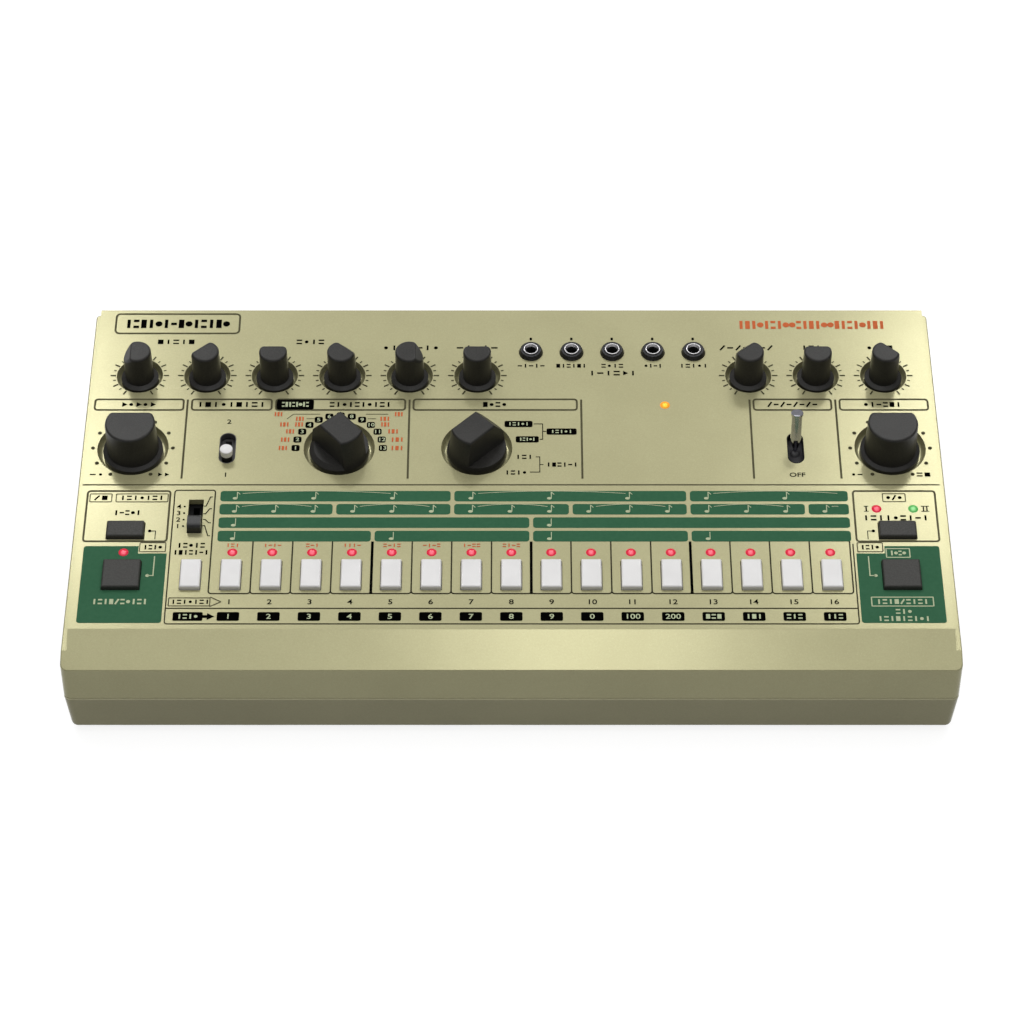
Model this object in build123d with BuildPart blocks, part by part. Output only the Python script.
"""Desktop drum machine: a wedge-shaped two-part case with a sloping control panel.

Millimetres. X runs to the right, Y to the back and Z up; the origin is on the table, under the
middle of the whole machine. Controls are placed on the panel by u (to the right of its middle),
v (back from its datum line, which lies just behind the front edge) and w (above its surface).
"""
from build123d import *
from math import atan2, cos, radians, sin, sqrt, tan
import os

os.makedirs("parts", exist_ok=True)

# ---------------------------------------------------------------- driving dimensions
# Places across the panel are shares of the case's width and its rows are shares of the case's
# depth, so the controls spread with the case; the controls themselves keep their own sizes.
# Case
case_width = 305.6
case_depth = 162.5
nut_stand_out = 2.5
foot_height = 2.5
lower_height = 16.5
front_height = 14.7
chin_run = 13.9
chin_rise = 5.5
datum_back = 0.5
panel_tilt = 3.4
wall = 2.5
side_draft = 0.3
lower_draft = 4.3
front_corner_round = 2.5
rear_corner_round = 1.5
corner_round = 2.0
edge_round = 1.5
small_round = 0.7
seam_edge = 0.5
ledge_width = 2.1
ledge_drop = 2.4
ledge_edge = 0.5
lip_height = 2.0
lip_gap = 0.15

# Fits
slide_gap = 0.25
turn_gap = 0.05
shaft_gap = 0.03
hole_gap = 0.1
face_gap = 0.3
over_cut = 1.0
near = 0.05

# Circuit boards
board_depth = 12.5
board_thickness = 1.6
board_side_gap = 6.8
board_front = 5.0
board_rear = case_depth * 0.763077
tab_left = -case_width * 0.006545
tab_right = case_width * 0.245419
tab_rear = case_depth * 0.836923
rear_board_rise = 1.4
rear_board_side_gap = 24.8
rear_board_reach = 33.0
post_radius = 3.0
board_screw_radius = 1.2
board_screw_head = 2.6
board_screw_head_height = 1.8
board_screw_length = 6.0
link_across = -case_width * 0.196335
link_back = 3.5
link_width = 30.0
link_length = 5.0

# Case screws and feet
case_post_radius = 3.5
sleeve_radius = 4.2
case_screw_radius = 1.45
case_screw_head = 2.8
case_screw_head_height = 2.0
case_screw_length = 19.0
screw_seat_height = 9.0
screw_slot_length = 3.4
screw_slot_width = 0.8
middle_rear_post = case_width * 0.065445
case_post_front_gap = 9.5
case_post_rear_gap = 7.5
front_post_side_gap = 12.8
rear_post_side_gap = 9.8
board_post_side_gap = 8.0
board_post_edge_gap = 5.0
foot_side_gap = 22.8
foot_front_gap = 18.5
foot_rear_gap = 18.0
foot_radius = 7.0

# Round knobs
small_left_count = 6
small_right_count = 3
small_pitch = case_width * 0.079843
small_first = -case_width * 0.439627
small_row = case_depth * 0.713231
small_top_radius = 5.0
small_base_radius = 5.2
small_skirt_radius = 6.7
small_height = 13.2
small_flat = 2.25
small_recess_radius = 8.35
small_recess_depth = 3.6
big_row = case_depth * 0.499077
big_side = case_width * 0.439627
big_top_radius = 8.8
big_base_radius = 9.2
big_skirt_radius = 10.6
big_height = 13.7
big_flat = 4.7
big_recess_radius = 12.65
big_recess_depth = 3.2
facet_slope = 36.0
skirt_edge = 0.8
skirt_clearance = 0.5
skirt_wall = 1.2
web_thickness = 0.6
knob_top_round = 0.8
facet_round = 1.6
fine_round = 0.4
cup_floor = 2.0
cup_wall = 1.8
recess_lean = 0.7
recess_round = 1.2
shaft_radius = 3.0
shaft_hole_radius = 3.6
hub_wall = 1.4
shaft_seat = 1.0

# Pointer knobs
instrument_u = -case_width * 0.200098
mode_u = -case_width * 0.040412
selector_height = 12.5
selector_top_radius = 9.0
bar_width = 10.0
bar_flat = 4.2
bar_step = 1.0
instrument_turn = -41.0
mode_turn = 45.0

# Potentiometers and rotary switches
pot_width = 9.8
pot_length = 11.0
pot_height = 6.3
selector_body_width = 18.0
selector_body_height = 6.4

# Slots and slide switches
slot_width = 5.9
slot_length = 14.4
slot_u = case_width * 0.329843
variant_radius = 1.9
variant_head_radius = 2.25
variant_dome = 1.4
variant_height = 4.3
variant_travel = 8.0
scale_u = -case_width * 0.361093
scale_first = case_depth * 0.276923
scale_pitch = 3.0
scale_steps = 3
scale_width = 4.7
scale_length = 5.8
scale_height = 3.5
scale_round = 1.5
switch_top = 3.0
slider_foot = 2.8
stem_width = 2.2
stem_length = 3.0
stem_depth = 6.5
switch_side = 2.2

# Toggle switch
toggle_lean = 14.5
pivot_depth = 4.2
ball_radius = 2.2
toggle_length = 18.6
toggle_root_radius = 0.65
toggle_cone_end = 7.8
toggle_body_radius = 1.9
toggle_tip_radius = 1.85
toggle_cap_radius = 2.2
toggle_cap_thickness = 0.9
toggle_edge = 0.2
toggle_body_width = 8.0
toggle_body_length = 13.0

# Push buttons
step_pitch = case_width * 0.045108
step_count = 16
step_first = -case_width * 0.315936
function_u = -case_width * 0.361257
button_row = case_depth * 0.140615
step_width = 7.0
step_length = 12.4
button_height = 1.8
wide_width = 13.0
wide_u = case_width * 0.439136
short_length = 7.1
short_row = case_depth * 0.263692
button_travel = 0.8
flange_reach = 0.9
flange_thickness = 1.0
stem_square = 4.0
plunger_radius = 1.7
plunger_reach = 0.6
tact_width = 6.0
tact_height = 3.5
stem_room = 0.1

# Lamps
lamp_radius = 1.5
lamp_collar_radius = 1.9
lamp_collar_height = 1.0
lamp_base = 5.0
lamp_centre = -0.3
lamp_leg_spacing = 2.54
lamp_leg_radius = 0.25
lamp_row = case_depth * 0.204308
group_lamp_row = case_depth * 0.325538
group_lamp_first = case_width * 0.417539
group_lamp_second = case_width * 0.459424
power_lamp_u = case_width * 0.180137
power_lamp_row = case_depth * 0.625231

# Small jacks on the panel
jack_first = case_width * 0.023069
jack_pitch = case_width * 0.048298
jack_count = 5
jack_row = case_depth * 0.784000
jack_body_width = 9.0
jack_body_length = 10.5
bush_radius = 2.85
bush_rise = 1.9
jack_bore_radius = 1.8
jack_bore_depth = 12.0
jack_mouth_radius = 2.35
jack_mouth_depth = 0.9
collar_radius = 4.4
collar_top_radius = 3.75
collar_height = 1.65

# Rear sockets, by their x
din_centres = (-case_width * 0.20288, -case_width * 0.111257)
din_width = 18.0
din_height = 18.0
din_depth = 11.0
din_nose_radius = 7.8
din_shell_radius = 6.8
din_core_radius = 5.6
din_shell_depth = 8.0
din_pin_circle = 3.6
din_pin_hole = 0.8
din_pin_depth = 5.5
din_pin_count = 5
usb_x = -case_width * 0.301047
usb_width = 12.0
usb_height = 11.0
usb_depth = 14.0
usb_mouth_width = 8.45
usb_mouth_height = 7.8
usb_mouth_depth = 9.0
usb_tongue_width = 5.6
usb_tongue_height = 3.2
dc_x = -case_width * 0.366492
dc_width = 9.0
dc_height = 11.0
dc_depth = 13.0
dc_nose_radius = 4.2
dc_bore_radius = 3.1
dc_bore_depth = 9.5
dc_pin_radius = 1.05
output_x = case_width * 0.359948
output_width = 15.0
output_height = 14.8
output_depth = 20.0
output_bush_radius = 4.7
output_bore_radius = 3.2
nut_across_flats = 12.7
power_x = case_width * 0.26178
power_body_width = 12.0
power_body_height = 8.0
power_body_depth = 8.0
power_travel = 3.0
power_slider_width = 4.0
power_slider_height = 3.2
power_slider_reach = 1.9
power_foot = 2.6
socket_recess = 0.3

# ---------------------------------------------------------------- places that follow from them
overall_depth = case_depth + nut_stand_out
front_y = -overall_depth / 2
rear_y = front_y + case_depth
seam_z = foot_height + lower_height
chin_z = seam_z + front_height
middle_y = (front_y + rear_y) / 2
edge_y = front_y + chin_run
edge_z = chin_z + chin_rise
tilt = radians(panel_tilt)
chin_slope = atan2(chin_rise, chin_run)
cavity_half = case_width / 2 - wall - (edge_z - seam_z) * tan(radians(side_draft))
floor_z = foot_height + wall
board_top = -board_depth
board_bottom = board_top - board_thickness
board_half_width = case_width / 2 - board_side_gap
rear_board_half = case_width / 2 - rear_board_side_gap
rear_board_front = rear_y - rear_board_reach
link_centre = (link_across, rear_board_front + link_back)
rear_board_height = seam_z + rear_board_rise
rear_board_top = rear_board_height + board_thickness
shaft_foot = board_top + shaft_seat

datum = (0, edge_y + datum_back * cos(tilt), edge_z + datum_back * sin(tilt))
panel = Plane(origin=datum, x_dir=(1, 0, 0), z_dir=(0, -sin(tilt), cos(tilt)))
rear_face = Plane(origin=(0, rear_y, 0), x_dir=(-1, 0, 0), z_dir=(0, 1, 0))
inner_rear_face = rear_face.offset(-wall)

small_centres = [(small_first + small_pitch * i, small_row) for i in range(small_left_count)]
small_centres += [(-u, v) for u, v in reversed(small_centres[:small_right_count])]
small_turns = (-90, -41, 0, 41, 90, 0, -41, 0, 41)
big_centres = [(-big_side, big_row), (big_side, big_row)]
selector_centres = [(instrument_u, big_row), (mode_u, big_row)]
step_centres = [(step_first + step_pitch * i, button_row) for i in range(step_count)]
narrow_centres = [(function_u, button_row)] + step_centres
square_centres = [(-wide_u, button_row), (wide_u, button_row)]
short_centres = [(-wide_u, short_row), (wide_u, short_row)]
jack_centres = [(jack_first + jack_pitch * i, jack_row) for i in range(jack_count)]
lamp_centres = [(u, lamp_row) for u, v in step_centres]
lamp_centres += [(-wide_u, lamp_row), (power_lamp_u, power_lamp_row)]
lamp_centres += [(group_lamp_first, group_lamp_row), (group_lamp_second, group_lamp_row)]
post_shares = [(-0.4, 0.3077), (0.4, 0.3077), (-0.3207, 0.6154), (0.3207, 0.6154), (-0.0802, 0.6031)]
post_shares += [(0.1309, 0.6154), (-0.3384, 0.0492), (0, 0.0492), (0.3384, 0.0492)]
board_posts = [(case_width * across, case_depth * back) for across, back in post_shares]
rear_post_u = rear_board_half - board_post_side_gap
rear_posts = [(u, rear_board_front + board_post_edge_gap) for u in (-rear_post_u, 0, rear_post_u)]
front_post_x, rear_post_x = case_width / 2 - front_post_side_gap, case_width / 2 - rear_post_side_gap
front_post_y, rear_post_y = front_y + case_post_front_gap, rear_y - case_post_rear_gap
case_posts = [(-front_post_x, front_post_y), (0, front_post_y), (front_post_x, front_post_y)]
case_posts += [(-rear_post_x, rear_post_y), (middle_rear_post, rear_post_y), (rear_post_x, rear_post_y)]
foot_x = case_width / 2 - foot_side_gap
foot_rows = (front_y + foot_front_gap, rear_y - foot_rear_gap)
foot_centres = [(x, y) for x in (-foot_x, foot_x) for y in foot_rows]


def case_outline(inset):
    """Side view of the case above the seam, drawn in by the given distance."""
    front = front_y + inset
    back = rear_y - inset
    front_top = chin_z - inset * (1 - sin(chin_slope)) / cos(chin_slope)
    shared = 1 + cos(chin_slope - tilt)
    crease_y = edge_y + inset * (sin(chin_slope) + sin(tilt)) / shared
    crease_z = edge_z - inset * (cos(chin_slope) + cos(tilt)) / shared
    back_top = edge_z + ((back - edge_y) * sin(tilt) - inset) / cos(tilt)
    return (front, front_top), (crease_y, crease_z), (back, back_top)


def seat(u, v, turn=0.0):
    """Plane on the panel at (u, v); its Y axis points back, turned clockwise by turn degrees."""
    origin = panel.from_local_coords(Vector(u, v, 0))
    sideways = panel.x_dir * cos(radians(turn)) - panel.y_dir * sin(radians(turn))
    return Plane(origin=origin, x_dir=sideways, z_dir=panel.z_dir)


def upright(place):
    """Plane for the half-section of a turned piece: radius to the right, height up."""
    return Plane(origin=place.origin, x_dir=place.x_dir, z_dir=place.y_dir * -1)


def spindle(place):
    """The axis that a turned piece is made about."""
    return Axis(place.origin, place.z_dir)


# ---------------------------------------------------------------- top shell
# One moulding: front wall, chin, sloping panel, sides and rear wall, open below.
side_lean = radians(side_draft)
right_side = Plane(origin=(case_width / 2, 0, seam_z), z_dir=(cos(side_lean), 0, sin(side_lean)))
left_side = Plane(origin=(-case_width / 2, 0, seam_z), z_dir=(-cos(side_lean), 0, sin(side_lean)))

with BuildPart() as top_shell:
    with BuildSketch(Plane.YZ):
        with BuildLine():
            front_corner, crease, back_corner = case_outline(0)
            Polyline((front_y, seam_z), front_corner, crease, back_corner, (rear_y, seam_z), close=True)
        make_face()
    extrude(amount=case_width / 2, both=True)
    split(bisect_by=right_side, keep=Keep.BOTTOM)
    split(bisect_by=left_side, keep=Keep.BOTTOM)
    uprights = top_shell.edges().filter_by(lambda e: abs(e.tangent_at(0.5).Z) > cos(chin_slope))
    front_pair, rear_pair = uprights.group_by(Axis.Y)
    fillet(front_pair, radius=front_corner_round)
    fillet(rear_pair, radius=rear_corner_round)
    creases = top_shell.edges().filter_by(lambda e: abs(e.center().Z - edge_z) < near)
    fillet(creases.sort_by(Edge.length)[-1], radius=edge_round)
    chamfer(top_shell.faces().sort_by(Axis.Z)[0].edges(), length=seam_edge)

    # a low ledge runs along both sides, level with the panel, and comes out half way down the chin
    ledge_front_z = edge_z - ledge_drop - chin_run * tan(tilt)
    ledge_back_z = edge_z - ledge_drop + (rear_y - edge_y) * tan(tilt)
    ledge_half = case_width / 2 - ledge_width
    for start in (ledge_half, -ledge_half - wall):
        with BuildSketch(Plane.YZ.offset(start)):
            with BuildLine():
                Polyline(
                    (front_y, ledge_front_z), (rear_y, ledge_back_z), (rear_y, back_corner[1] + wall),
                    (front_y, back_corner[1] + wall), close=True,
                )
            make_face()
        extrude(amount=wall, mode=Mode.SUBTRACT)
    rims = top_shell.edges().filter_by(
        lambda e: abs(e.center().X) > ledge_half + ledge_edge
        and e.center().Z > chin_z + near
        and abs(e.tangent_at(0.5).Y) > abs(e.tangent_at(0.5).Z)
    )
    fillet(rims, radius=ledge_edge)

    # inside, narrower at the top to leave a full wall behind the ledges, and full width round the lip
    for inset, half in ((wall, cavity_half - ledge_width), (wall + ledge_drop, cavity_half)):
        with BuildSketch(Plane.YZ):
            with BuildLine():
                front_corner, crease, back_corner = case_outline(inset)
                Polyline(
                    (front_y + inset, seam_z), front_corner, crease, back_corner,
                    (rear_y - inset, seam_z), close=True,
                )
            make_face()
        extrude(amount=half, both=True, mode=Mode.SUBTRACT)
    with BuildSketch(Plane.XY.offset(seam_z)):
        with Locations((0, middle_y)):
            Rectangle(2 * cavity_half, case_depth - 2 * wall)
    extrude(amount=lip_height + lip_gap, mode=Mode.SUBTRACT)

    # cups behind the knob recesses, and posts for the board and for the case screws
    for centres, radius, depth in (
        (small_centres, small_recess_radius, small_recess_depth),
        (big_centres + selector_centres, big_recess_radius, big_recess_depth),
    ):
        with BuildSketch(panel.offset(-wall)):
            with Locations(*centres):
                Circle(radius + cup_wall)
        extrude(amount=-(depth + cup_floor - wall))
    with BuildSketch(panel.offset(-wall)):
        with Locations(*board_posts):
            Circle(post_radius)
    extrude(amount=-(board_depth - wall))
    with BuildSketch(Plane.XY.offset(seam_z)):
        with Locations(*case_posts):
            Circle(case_post_radius)
    extrude(until=Until.NEXT)
    with BuildSketch(panel.offset(board_top)):
        with Locations(*board_posts):
            Circle(board_screw_radius + turn_gap)
    extrude(amount=board_screw_length, mode=Mode.SUBTRACT)
    with BuildSketch(Plane.XY.offset(seam_z)):
        with Locations(*case_posts):
            Circle(case_screw_radius + turn_gap)
    extrude(amount=case_screw_length + over_cut - (seam_z - screw_seat_height), mode=Mode.SUBTRACT)

    # dished recesses with a round foot to their wall, and the shaft holes in their floors
    for centres, radius, depth in (
        (small_centres, small_recess_radius, small_recess_depth),
        (big_centres + selector_centres, big_recess_radius, big_recess_depth),
    ):
        for u, v in centres:
            place = seat(u, v)
            with BuildSketch(upright(place)) as dish:
                with BuildLine():
                    Polyline((0, 0), (radius, 0), (radius - recess_lean, -depth), (0, -depth), close=True)
                make_face()
                foot = dish.vertices().group_by(Axis.Y)[0].sort_by(Axis.X)[-1]
                fillet(foot, radius=recess_round)
            revolve(axis=spindle(place), mode=Mode.SUBTRACT)
        with BuildSketch(panel.offset(-depth)):
            with Locations(*centres):
                Circle(shaft_hole_radius)
        extrude(amount=-(cup_floor + over_cut), mode=Mode.SUBTRACT)

    # slots, button windows, lamp holes and jack holes
    with BuildSketch(panel):
        with Locations((-slot_u, big_row), (slot_u, big_row)):
            SlotOverall(slot_length, slot_width, rotation=90)
        with Locations((scale_u, scale_first + scale_pitch * scale_steps / 2)):
            window = scale_length + scale_pitch * scale_steps + 2 * slide_gap
            Rectangle(scale_width + 2 * slide_gap, window)
        with Locations(*narrow_centres):
            Rectangle(step_width + 2 * slide_gap, step_length + 2 * slide_gap)
        with Locations(*square_centres):
            Rectangle(wide_width + 2 * slide_gap, step_length + 2 * slide_gap)
        with Locations(*short_centres):
            Rectangle(wide_width + 2 * slide_gap, short_length + 2 * slide_gap)
        with Locations(*lamp_centres):
            Circle(lamp_radius + hole_gap)
        with Locations(*jack_centres):
            Circle(bush_radius + hole_gap)
    extrude(amount=-wall, mode=Mode.SUBTRACT)

    # openings in the rear wall
    with BuildSketch(rear_face):
        with Locations(*[(-x, rear_board_top + din_height / 2) for x in din_centres]):
            Circle(din_nose_radius + hole_gap)
        with Locations((-usb_x, rear_board_top + usb_height / 2)):
            Rectangle(usb_width + 2 * hole_gap, usb_height + 2 * hole_gap)
        with Locations((-dc_x, rear_board_top + dc_height / 2)):
            Circle(dc_nose_radius + hole_gap)
        with Locations((-output_x, rear_board_top + output_height / 2)):
            Circle(output_bush_radius + hole_gap)
        with Locations((-power_x - power_travel / 2, rear_board_top + power_body_height / 2)):
            window = power_slider_width + power_travel + 2 * slide_gap
            Rectangle(window, power_slider_height + 2 * slide_gap)
    extrude(amount=-wall, mode=Mode.SUBTRACT)
top_shell.part.label = "top_shell"
export_step(top_shell.part, "parts/top_shell.step")

# ---------------------------------------------------------------- bottom shell
# A tray with sloping walls; its lip locates inside the top shell.
foot_half_x = case_width / 2 - lower_height * tan(radians(lower_draft))
foot_half_y = case_depth / 2 - lower_height * tan(radians(lower_draft))
tray_half_x = foot_half_x - wall
tray_half_y = foot_half_y - wall
lip_half_x = cavity_half - lip_gap
lip_half_y = case_depth / 2 - wall - lip_gap


def case_plan(level, half_x, half_y):
    """Outline of the case from above, at the given level; its rear corners are the rounder ones."""
    with BuildSketch(Plane.XY.offset(level)) as plan:
        with Locations((0, middle_y)):
            Rectangle(2 * half_x, 2 * half_y)
        front_pair, rear_pair = plan.vertices().group_by(Axis.Y)
        fillet(front_pair, radius=front_corner_round)
        fillet(rear_pair, radius=rear_corner_round)
    return plan.sketch


foot_plan = case_plan(foot_height, foot_half_x, foot_half_y)
seam_plan = case_plan(seam_z - seam_edge, case_width / 2, case_depth / 2)

with BuildPart() as bottom_shell:
    loft([foot_plan, seam_plan])
    fillet(bottom_shell.faces().sort_by(Axis.Z)[0].edges(), radius=corner_round)
    extrude(seam_plan, amount=seam_edge, taper=45)
    with BuildSketch(Plane.XY.offset(seam_z)):
        with Locations((0, middle_y)):
            RectangleRounded(2 * lip_half_x, 2 * lip_half_y, corner_round)
    extrude(amount=lip_height)
    with BuildSketch(Plane.XY.offset(floor_z)):
        with Locations((0, middle_y)):
            RectangleRounded(2 * tray_half_x, 2 * tray_half_y, corner_round)
    extrude(amount=lower_height + lip_height, mode=Mode.SUBTRACT)
    with BuildSketch(Plane.XY.offset(floor_z)):
        with Locations(*case_posts):
            Circle(sleeve_radius)
    extrude(amount=seam_z - floor_z)
    with BuildSketch(Plane.XY.offset(floor_z)):
        with Locations(*rear_posts):
            Circle(post_radius)
    extrude(amount=rear_board_height - floor_z)
    with BuildSketch(Plane.XY.offset(foot_height)):
        with Locations(*case_posts):
            Circle(case_screw_head + slide_gap)
    extrude(amount=screw_seat_height - foot_height, mode=Mode.SUBTRACT)
    with BuildSketch(Plane.XY.offset(screw_seat_height)):
        with Locations(*case_posts):
            Circle(case_screw_radius + slide_gap)
    extrude(amount=lower_height, mode=Mode.SUBTRACT)
    with BuildSketch(Plane.XY.offset(rear_board_height)):
        with Locations(*rear_posts):
            Circle(board_screw_radius + turn_gap)
    extrude(amount=-board_screw_length, mode=Mode.SUBTRACT)
bottom_shell.part.label = "bottom_shell"
export_step(bottom_shell.part, "parts/bottom_shell.step")

# ---------------------------------------------------------------- feet and case screws
with BuildPart() as rubber_feet:
    with BuildSketch():
        with Locations(*foot_centres):
            Circle(foot_radius)
    extrude(amount=foot_height)
    chamfer(rubber_feet.faces().group_by(Axis.Z)[0].edges(), length=small_round)
rubber_feet.part.label = "rubber_feet"
export_step(rubber_feet.part, "parts/rubber_feet.step")

with BuildPart() as case_screws:
    with BuildSketch(Plane.XY.offset(screw_seat_height)):
        with Locations(*case_posts):
            Circle(case_screw_head)
    extrude(amount=-case_screw_head_height)
    with BuildSketch(Plane.XY.offset(screw_seat_height - case_screw_head_height)):
        with Locations(*case_posts):
            Rectangle(screw_slot_length, screw_slot_width)
            Rectangle(screw_slot_width, screw_slot_length)
    extrude(amount=case_screw_head_height / 2, mode=Mode.SUBTRACT)
    with BuildSketch(Plane.XY.offset(screw_seat_height)):
        with Locations(*case_posts):
            Circle(case_screw_radius)
    extrude(amount=case_screw_length)
case_screws.part.label = "case_screws"
export_step(case_screws.part, "parts/case_screws.step")

# ---------------------------------------------------------------- circuit boards
# The control board hangs under the panel; the rear board stands on the tray's posts.
with BuildPart() as control_board:
    with BuildSketch(panel.offset(board_top)):
        with Locations((0, (board_front + board_rear) / 2)):
            Rectangle(2 * board_half_width, board_rear - board_front)
        with Locations(((tab_left + tab_right) / 2, (board_rear + tab_rear) / 2)):
            Rectangle(tab_right - tab_left, tab_rear - board_rear)
        with Locations(*board_posts):
            Circle(board_screw_radius + hole_gap, mode=Mode.SUBTRACT)
    extrude(amount=-board_thickness)
control_board.part.label = "control_board"
export_step(control_board.part, "parts/control_board.step")

rear_board_back = middle_y + tray_half_y - face_gap
with BuildPart() as rear_board:
    with BuildSketch(Plane.XY.offset(rear_board_height)):
        with Locations((0, (rear_board_front + rear_board_back) / 2)):
            Rectangle(2 * rear_board_half, rear_board_back - rear_board_front)
        with Locations(*rear_posts):
            Circle(board_screw_radius + hole_gap, mode=Mode.SUBTRACT)
        with Locations((middle_rear_post, rear_post_y)):
            Circle(case_post_radius + face_gap, mode=Mode.SUBTRACT)
    extrude(amount=board_thickness)
rear_board.part.label = "rear_board"
export_step(rear_board.part, "parts/rear_board.step")

# pin header that joins the two boards, ending on the underside of the control board
with BuildPart() as board_link:
    with BuildSketch(Plane.XY.offset(rear_board_top)):
        with Locations(link_centre):
            Rectangle(link_width, link_length)
    extrude(amount=edge_z - rear_board_top)
    split(bisect_by=panel.offset(board_bottom), keep=Keep.BOTTOM)
board_link.part.label = "board_link"
export_step(board_link.part, "parts/board_link.step")

with BuildPart() as board_screws:
    with BuildSketch(panel.offset(board_bottom)):
        with Locations(*board_posts):
            Circle(board_screw_head)
    extrude(amount=-board_screw_head_height)
    with BuildSketch(panel.offset(board_bottom)):
        with Locations(*board_posts):
            Circle(board_screw_radius)
    extrude(amount=board_screw_length)
    with BuildSketch(Plane.XY.offset(rear_board_top)):
        with Locations(*rear_posts):
            Circle(board_screw_head)
    extrude(amount=board_screw_head_height)
    with BuildSketch(Plane.XY.offset(rear_board_top)):
        with Locations(*rear_posts):
            Circle(board_screw_radius)
    extrude(amount=-board_screw_length)
board_screws.part.label = "board_screws"
export_step(board_screws.part, "parts/board_screws.step")

# ---------------------------------------------------------------- potentiometers, rotary switches
with BuildPart() as pot_bodies:
    with BuildSketch(panel.offset(board_top)):
        with Locations(*small_centres, *big_centres):
            RectangleRounded(pot_width, pot_length, small_round)
    extrude(amount=pot_height)
    with BuildSketch(panel.offset(shaft_foot)):
        with Locations(*small_centres, *big_centres):
            Circle(shaft_radius + turn_gap)
    extrude(amount=pot_height, mode=Mode.SUBTRACT)
pot_bodies.part.label = "pot_bodies"
export_step(pot_bodies.part, "parts/pot_bodies.step")

with BuildPart() as selector_bodies:
    with BuildSketch(panel.offset(board_top)):
        with Locations(*selector_centres):
            RectangleRounded(selector_body_width, selector_body_width, corner_round)
    extrude(amount=selector_body_height)
    with BuildSketch(panel.offset(shaft_foot)):
        with Locations(*selector_centres):
            Circle(shaft_radius + turn_gap)
    extrude(amount=selector_body_height, mode=Mode.SUBTRACT)
selector_bodies.part.label = "selector_bodies"
export_step(selector_bodies.part, "parts/selector_bodies.step")


# ---------------------------------------------------------------- knobs, each with its shaft
def turned_knob(place, top, base, skirt, height, skirt_foot):
    """Knob cap with a sloping skirt that sits in its recess, hollow below, on a round shaft."""
    bore_top = height - wall
    web = -skirt_edge - web_thickness
    hub = shaft_radius + hub_wall
    with BuildPart() as knob:
        with BuildSketch(upright(place)) as section:
            with BuildLine():
                Polyline(
                    (0, height), (top, height), (base, 0), (skirt, -skirt_edge), (skirt, skirt_foot),
                    (skirt - skirt_wall, skirt_foot), (skirt - skirt_wall, web), (hub, web),
                    (hub, skirt_foot), (shaft_radius, skirt_foot), (shaft_radius, bore_top),
                    (0, bore_top), close=True,
                )
            make_face()
        revolve(axis=spindle(place))
    return knob


def add_shaft(knob, place, height):
    """Steel shaft from the control's body up into the knob's bore."""
    with BuildPart() as shaft:
        with BuildSketch(place.offset(shaft_foot)):
            Circle(shaft_radius - shaft_gap)
        extrude(amount=height - wall - shaft_foot - shaft_gap)
    return Compound(children=[knob.part, shaft.part])


def round_knob(name, u, v, turn, top, base, skirt, height, flat, recess_depth):
    """Round knob whose pointer is a flat sloping away from the top."""
    place = seat(u, v, turn)
    knob = turned_knob(place, top, base, skirt, height, -recess_depth + skirt_clearance)
    slope = radians(facet_slope)
    edge = place.from_local_coords(Vector(0, flat, height))
    outward = place.y_dir * cos(slope) + place.z_dir * sin(slope)
    with knob:
        split(bisect_by=Plane(origin=edge, z_dir=outward), keep=Keep.BOTTOM)
        facet = knob.faces().sort_by(Axis(edge, outward))[-1]
        flanks = facet.edges().filter_by(GeomType.LINE, reverse=True)
        fillet(flanks, radius=facet_round)
        crown = knob.faces().sort_by(Axis(place.origin, place.z_dir))[-1]
        fillet(crown.edges(), radius=knob_top_round)
    piece = add_shaft(knob, place, height)
    piece.label = name
    export_step(piece, f"parts/{name}.step")


for number, ((u, v), turn) in enumerate(zip(small_centres, small_turns), start=1):
    round_knob(
        f"small_knob_{number}", u, v, turn, small_top_radius, small_base_radius, small_skirt_radius,
        small_height, small_flat, small_recess_depth,
    )
for name, (u, v) in zip(("tempo_knob", "volume_knob"), big_centres):
    round_knob(
        name, u, v, 0, big_top_radius, big_base_radius, big_skirt_radius, big_height, big_flat,
        big_recess_depth,
    )


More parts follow.
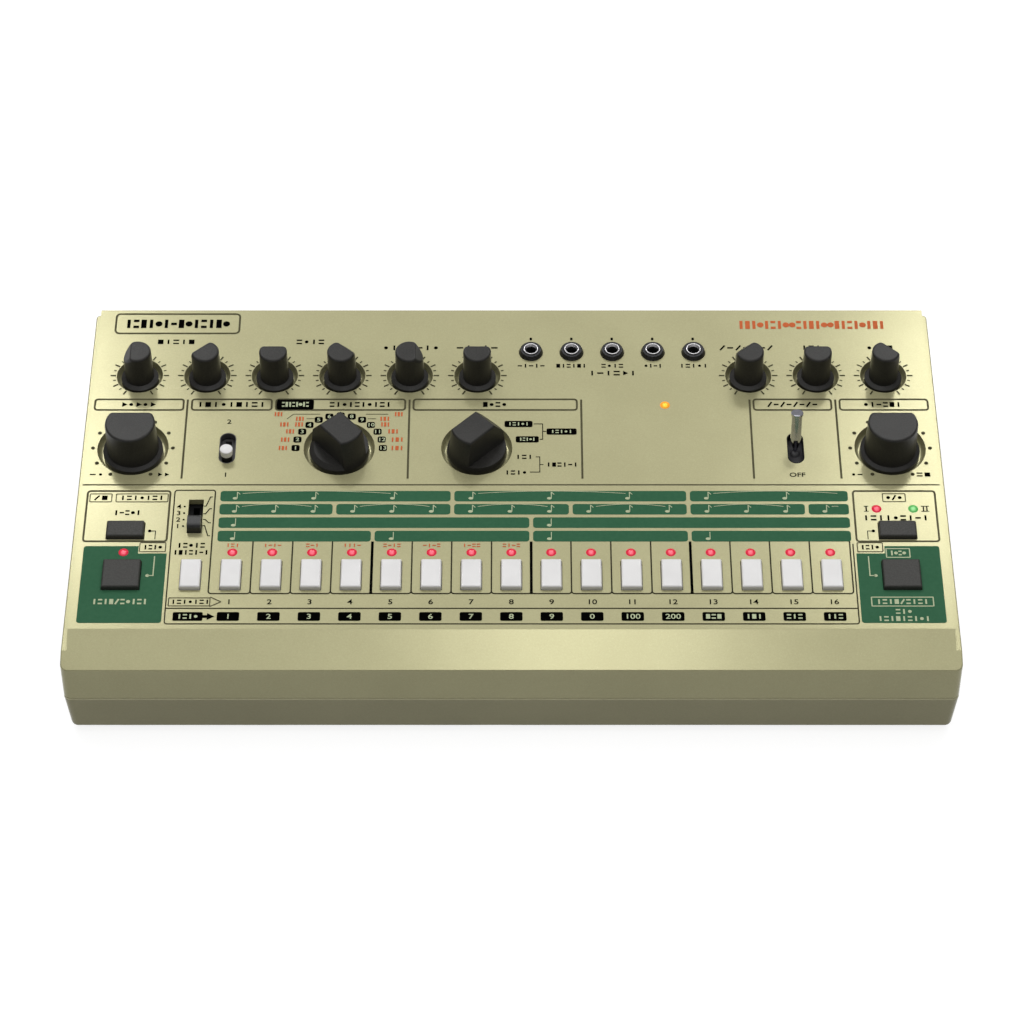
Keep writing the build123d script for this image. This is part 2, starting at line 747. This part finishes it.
# ---------------------------------------------------------------- pointer knobs
def pointer_knob(name, u, v, turn):
    """Selector knob: a bar across a low round skirt, its pointer end sloping away from the top."""
    place = seat(u, v, turn)
    skirt_foot = -big_recess_depth + skirt_clearance
    below = skirt_foot - over_cut
    web = -skirt_edge - web_thickness
    hub = shaft_radius + hub_wall
    inside = big_skirt_radius - skirt_wall
    bore_top = selector_height - wall
    with BuildPart() as knob:
        with BuildSketch(upright(place)):
            with BuildLine():
                Polyline(
                    (0, selector_height), (selector_top_radius, selector_height),
                    (big_skirt_radius, -skirt_edge), (big_skirt_radius, skirt_foot), (0, skirt_foot),
                    close=True,
                )
            make_face()
        revolve(axis=spindle(place))
        # both flanks cut down to a low step with a sloping rim
        for side in (-1, 1):
            with BuildSketch(place.offset(bar_step)):
                with Locations((side * (bar_width / 2 + big_skirt_radius), 0)):
                    Rectangle(2 * big_skirt_radius, 4 * big_skirt_radius)
            extrude(amount=selector_height, mode=Mode.SUBTRACT)
        low = knob.edges().filter_by(
            lambda e: abs(place.to_local_coords(e.center()).Z - bar_step) < near
        )
        rims = low.filter_by(lambda e: abs(place.to_local_coords(e.center()).X) > bar_width)
        chamfer(rims, length=big_skirt_radius - big_base_radius)
        slope = radians(facet_slope)
        edge = place.from_local_coords(Vector(0, bar_flat, selector_height))
        outward = place.y_dir * cos(slope) + place.z_dir * sin(slope)
        split(bisect_by=Plane(origin=edge, z_dir=outward), keep=Keep.BOTTOM)
        crown = knob.faces().filter_by(
            lambda f: abs(place.to_local_coords(f.center()).Z - selector_height) < near
        )
        fillet(crown.edges(), radius=knob_top_round)
        with BuildSketch(upright(place)):
            with BuildLine():
                Polyline(
                    (0, below), (shaft_radius, below), (shaft_radius, bore_top), (0, bore_top),
                    close=True,
                )
            make_face()
            with BuildLine():
                Polyline((hub, below), (inside, below), (inside, web), (hub, web), close=True)
            make_face()
        revolve(axis=spindle(place), mode=Mode.SUBTRACT)
    piece = add_shaft(knob, place, selector_height)
    piece.label = name
    export_step(piece, f"parts/{name}.step")


pointer_knob("instrument_selector", instrument_u, big_row, instrument_turn)
pointer_knob("mode_selector", mode_u, big_row, mode_turn)

# ---------------------------------------------------------------- slide switches on the panel
# Each body fills its slot from below; the slider's stem runs in a channel in its top.
slot_margin = (slot_length - 2 * variant_radius - variant_travel) / 2
variant_v = big_row - slot_length / 2 + slot_margin + variant_radius
scale_travel = scale_pitch * scale_steps


def slide_switch_body(name, u, v, travel, side_wall):
    """Box on the control board with a channel for the slider's stem."""
    channel = stem_length + travel + 2 * slide_gap
    with BuildPart() as body:
        with BuildSketch(panel.offset(board_top)):
            with Locations((u, v + travel / 2)):
                Rectangle(stem_width + 2 * side_wall, channel + 2 * switch_side)
        extrude(amount=board_depth - switch_top)
        with BuildSketch(panel.offset(-switch_top)):
            with Locations((u, v + travel / 2)):
                Rectangle(stem_width + 2 * turn_gap, channel)
        extrude(amount=-(stem_depth - switch_top + face_gap), mode=Mode.SUBTRACT)
    body.part.label = name
    export_step(body.part, f"parts/{name}.step")


slide_switch_body("variant_switch_body", -slot_u, variant_v, variant_travel, slot_width / 2)
slide_switch_body("scale_switch_body", scale_u, scale_first, scale_travel, slot_width / 2)

variant_place = seat(-slot_u, variant_v)
with BuildPart() as variant_slider:
    with BuildSketch(upright(variant_place)) as section:
        with BuildLine():
            Polyline(
                (0, variant_height), (0, -slider_foot), (variant_radius, -slider_foot),
                (variant_radius, 0), (variant_head_radius, variant_height), close=True,
            )
        make_face()
        fillet(section.vertices().group_by(Axis.Y)[-1].sort_by(Axis.X)[-1], radius=variant_dome)
    revolve(axis=spindle(variant_place))
    with BuildSketch(panel.offset(-slider_foot)):
        with Locations((-slot_u, variant_v)):
            Rectangle(stem_width, stem_length)
    extrude(amount=-(stem_depth - slider_foot))
variant_slider.part.label = "variant_slider"
export_step(variant_slider.part, "parts/variant_slider.step")

with BuildPart() as scale_slider:
    with BuildSketch(panel.offset(-slider_foot)):
        with Locations((scale_u, scale_first)):
            Rectangle(scale_width, scale_length)
    extrude(amount=slider_foot + scale_height)
    fillet(scale_slider.edges().filter_by(Axis.X).sort_by(Axis.Z)[-2:], radius=scale_round)
    with BuildSketch(panel.offset(-slider_foot)):
        with Locations((scale_u, scale_first)):
            Rectangle(stem_width, stem_length)
    extrude(amount=-(stem_depth - slider_foot))
scale_slider.part.label = "scale_slider"
export_step(scale_slider.part, "parts/scale_slider.step")

# ---------------------------------------------------------------- toggle switch
# A ball on the lever's foot turns in a socket in the switch body.
pivot = panel.from_local_coords(Vector(slot_u, big_row, -pivot_depth))
lean = radians(toggle_lean)
lever_line = panel.z_dir * cos(lean) + panel.y_dir * sin(lean)
lever_place = Plane(origin=pivot, x_dir=panel.x_dir, z_dir=lever_line)

with BuildPart() as toggle_switch_body:
    with BuildSketch(panel.offset(board_top)):
        with Locations((slot_u, big_row)):
            Rectangle(toggle_body_width, toggle_body_length)
    extrude(amount=board_depth - switch_top)
    with Locations(pivot):
        Sphere(ball_radius + turn_gap, mode=Mode.SUBTRACT)
toggle_switch_body.part.label = "toggle_switch_body"
export_step(toggle_switch_body.part, "parts/toggle_switch_body.step")

with BuildPart() as toggle_lever:
    with BuildSketch(upright(lever_place)):
        root_height = sqrt(ball_radius ** 2 - toggle_root_radius ** 2)
        cap_base = toggle_length - toggle_cap_thickness
        with BuildLine():
            ThreePointArc((0, -ball_radius), (ball_radius, 0), (toggle_root_radius, root_height))
            Polyline(
                (toggle_root_radius, root_height), (toggle_body_radius, toggle_cone_end),
                (toggle_tip_radius, cap_base - toggle_edge), (toggle_cap_radius, cap_base),
                (toggle_cap_radius, toggle_length - toggle_edge),
                (toggle_cap_radius - toggle_edge, toggle_length), (0, toggle_length),
                (0, -ball_radius),
            )
        make_face()
    revolve(axis=spindle(lever_place))
toggle_lever.part.label = "toggle_lever"
export_step(toggle_lever.part, "parts/toggle_lever.step")

# ---------------------------------------------------------------- push buttons
# A flange under the panel keeps each cap in; its stem stands on a tact switch's plunger.
flange_top = -wall - face_gap
tact_top = board_top + tact_height
stem_bottom = tact_top + button_travel + stem_room


def push_button(name, u, v, width, length):
    """Button cap with its flange and stem, on the plunger of its switch."""
    with BuildPart() as cap:
        with BuildSketch(panel.offset(flange_top)):
            with Locations((u, v)):
                RectangleRounded(width, length, fine_round)
        extrude(amount=button_height - flange_top)
        fillet(cap.faces().sort_by(Axis(panel.origin, panel.z_dir))[-1].edges(), radius=small_round)
        with BuildSketch(panel.offset(flange_top)):
            with Locations((u, v)):
                Rectangle(width + 2 * flange_reach, length + 2 * flange_reach)
        extrude(amount=-flange_thickness)
        with BuildSketch(panel.offset(flange_top - flange_thickness)):
            with Locations((u, v)):
                Rectangle(stem_square, stem_square)
        extrude(amount=stem_bottom - flange_top + flange_thickness)
    with BuildPart() as plunger:
        with BuildSketch(panel.offset(stem_bottom)):
            with Locations((u, v)):
                Circle(plunger_radius)
        extrude(amount=tact_top - plunger_reach - stem_bottom)
    piece = Compound(children=[cap.part, plunger.part])
    piece.label = name
    export_step(piece, f"parts/{name}.step")


push_button("function_button", function_u, button_row, step_width, step_length)
for number, (u, v) in enumerate(step_centres, start=1):
    push_button(f"step_button_{number:02d}", u, v, step_width, step_length)
for name, (u, v) in zip(("start_button", "tap_button"), square_centres):
    push_button(name, u, v, wide_width, step_length)
for name, (u, v) in zip(("clear_button", "pattern_button"), short_centres):
    push_button(name, u, v, wide_width, short_length)

tact_centres = narrow_centres + square_centres + short_centres
with BuildPart() as tact_switches:
    with BuildSketch(panel.offset(board_top)):
        with Locations(*tact_centres):
            Rectangle(tact_width, tact_width)
    extrude(amount=tact_height)
    with BuildSketch(panel.offset(tact_top)):
        with Locations(*tact_centres):
            Circle(plunger_radius + turn_gap)
    extrude(amount=-(plunger_reach + button_travel + face_gap), mode=Mode.SUBTRACT)
tact_switches.part.label = "tact_switches"
export_step(tact_switches.part, "parts/tact_switches.step")

# ---------------------------------------------------------------- lamps
# Round-headed lamps with a collar, standing on the control board on two legs.
with BuildPart(panel) as lamps:
    with BuildSketch(panel.offset(-lamp_base)):
        with Locations(*lamp_centres):
            Circle(lamp_radius)
    extrude(amount=lamp_base + lamp_centre)
    with Locations(*[(u, v, lamp_centre) for u, v in lamp_centres]):
        Sphere(lamp_radius)
    with BuildSketch(panel.offset(-lamp_base)):
        with Locations(*lamp_centres):
            Circle(lamp_collar_radius)
    extrude(amount=-lamp_collar_height)
    with BuildSketch(panel.offset(board_top)):
        with Locations(*lamp_centres):
            with Locations((-lamp_leg_spacing / 2, 0), (lamp_leg_spacing / 2, 0)):
                Circle(lamp_leg_radius)
    extrude(amount=board_depth - lamp_base - lamp_collar_height)
lamps.part.label = "lamps"
export_step(lamps.part, "parts/lamps.step")

# ---------------------------------------------------------------- small jacks
with BuildPart() as jack_bodies:
    with BuildSketch(panel.offset(board_top)):
        with Locations(*jack_centres):
            Rectangle(jack_body_width, jack_body_length)
    extrude(amount=board_depth - wall)
    with BuildSketch(panel.offset(-wall)):
        with Locations(*jack_centres):
            Circle(bush_radius)
    extrude(amount=wall + bush_rise)
    for u, v in jack_centres:
        place = seat(u, v)
        with BuildSketch(upright(place)):
            with BuildLine():
                Polyline(
                    (0, bush_rise), (jack_mouth_radius, bush_rise),
                    (jack_bore_radius, bush_rise - jack_mouth_depth),
                    (jack_bore_radius, -jack_bore_depth), (0, -jack_bore_depth), close=True,
                )
            make_face()
        revolve(axis=spindle(place), mode=Mode.SUBTRACT)
jack_bodies.part.label = "jack_bodies"
export_step(jack_bodies.part, "parts/jack_bodies.step")

with BuildPart() as jack_collars:
    for u, v in jack_centres:
        place = seat(u, v)
        with BuildSketch(upright(place)) as section:
            with BuildLine():
                Polyline(
                    (bush_radius + shaft_gap, 0), (collar_radius, 0),
                    (collar_top_radius, collar_height), (bush_radius + shaft_gap, collar_height),
                    close=True,
                )
            make_face()
            fillet(section.vertices().group_by(Axis.Y)[-1].sort_by(Axis.X)[-1], radius=fine_round)
        revolve(axis=spindle(place))
jack_collars.part.label = "jack_collars"
export_step(jack_collars.part, "parts/jack_collars.step")

# ---------------------------------------------------------------- rear sockets
# All stand on the rear board and show through the rear wall.
socket_face = rear_face.offset(-socket_recess)

with BuildPart() as din_sockets:
    centres = [(-x, rear_board_top + din_height / 2) for x in din_centres]
    with BuildSketch(inner_rear_face):
        with Locations(*centres):
            Rectangle(din_width, din_height)
    extrude(amount=-din_depth)
    with BuildSketch(inner_rear_face):
        with Locations(*centres):
            Circle(din_nose_radius)
    extrude(amount=wall - socket_recess)
    with BuildSketch(socket_face):
        with Locations(*centres):
            Circle(din_shell_radius)
            Circle(din_core_radius, mode=Mode.SUBTRACT)
    extrude(amount=-din_shell_depth, mode=Mode.SUBTRACT)
    with BuildSketch(socket_face):
        with Locations(*centres):
            with PolarLocations(din_pin_circle, din_pin_count, angular_range=180, endpoint=True):
                Circle(din_pin_hole)
    extrude(amount=-din_pin_depth, mode=Mode.SUBTRACT)
din_sockets.part.label = "din_sockets"
export_step(din_sockets.part, "parts/din_sockets.step")

with BuildPart() as usb_socket:
    usb_centre = (-usb_x, rear_board_top + usb_height / 2)
    with BuildSketch(socket_face):
        with Locations(usb_centre):
            Rectangle(usb_width, usb_height)
    extrude(amount=-usb_depth)
    with BuildSketch(socket_face):
        with Locations(usb_centre):
            Rectangle(usb_mouth_width, usb_mouth_height)
            Rectangle(usb_tongue_width, usb_tongue_height, mode=Mode.SUBTRACT)
    extrude(amount=-usb_mouth_depth, mode=Mode.SUBTRACT)
    with BuildSketch(socket_face):
        with Locations(usb_centre):
            Rectangle(usb_tongue_width, usb_tongue_height)
    extrude(amount=-small_round, mode=Mode.SUBTRACT)
usb_socket.part.label = "usb_socket"
export_step(usb_socket.part, "parts/usb_socket.step")

with BuildPart() as dc_inlet:
    dc_centre = (-dc_x, rear_board_top + dc_height / 2)
    with BuildSketch(inner_rear_face):
        with Locations(dc_centre):
            Rectangle(dc_width, dc_height)
    extrude(amount=-dc_depth)
    with BuildSketch(inner_rear_face):
        with Locations(dc_centre):
            Circle(dc_nose_radius)
    extrude(amount=wall - socket_recess)
    with BuildSketch(socket_face):
        with Locations(dc_centre):
            Circle(dc_bore_radius)
            Circle(dc_pin_radius, mode=Mode.SUBTRACT)
    extrude(amount=-dc_bore_depth, mode=Mode.SUBTRACT)
dc_inlet.part.label = "dc_inlet"
export_step(dc_inlet.part, "parts/dc_inlet.step")

output_centre = (-output_x, rear_board_top + output_height / 2)
with BuildPart() as output_jack:
    with BuildSketch(inner_rear_face):
        with Locations(output_centre):
            Rectangle(output_width, output_height)
    extrude(amount=-output_depth)
    with BuildSketch(inner_rear_face):
        with Locations(output_centre):
            Circle(output_bush_radius)
    extrude(amount=wall + nut_stand_out - fine_round)
    with BuildSketch(inner_rear_face.offset(-output_depth)):
        with Locations(output_centre):
            Circle(output_bore_radius)
    extrude(amount=output_depth + wall + nut_stand_out, mode=Mode.SUBTRACT)
    with BuildSketch(rear_face):
        with Locations(output_centre):
            RegularPolygon(nut_across_flats / 2, 6, major_radius=False)
            Circle(output_bush_radius + shaft_gap, mode=Mode.SUBTRACT)
    extrude(amount=nut_stand_out)
output_jack.part.label = "output_jack"
export_step(output_jack.part, "parts/output_jack.step")

# ---------------------------------------------------------------- power switch
slider_room = power_slider_width + power_travel + 2 * slide_gap
power_centre = (-power_x - power_travel / 2, rear_board_top + power_body_height / 2)
with BuildPart() as power_switch_body:
    with BuildSketch(inner_rear_face):
        with Locations(power_centre):
            Rectangle(power_body_width, power_body_height)
    extrude(amount=-power_body_depth)
    with BuildSketch(inner_rear_face):
        with Locations(power_centre):
            Rectangle(slider_room, power_slider_height + 2 * turn_gap)
    extrude(amount=-(power_foot + face_gap), mode=Mode.SUBTRACT)
power_switch_body.part.label = "power_switch_body"
export_step(power_switch_body.part, "parts/power_switch_body.step")

with BuildPart() as power_slider:
    with BuildSketch(inner_rear_face.offset(-power_foot)):
        with Locations((-power_x, rear_board_top + power_body_height / 2)):
            Rectangle(power_slider_width, power_slider_height)
    extrude(amount=power_foot + wall + power_slider_reach)
    fillet(power_slider.faces().sort_by(Axis.Y)[-1].edges(), radius=fine_round)
power_slider.part.label = "power_slider"
export_step(power_slider.part, "parts/power_slider.step")
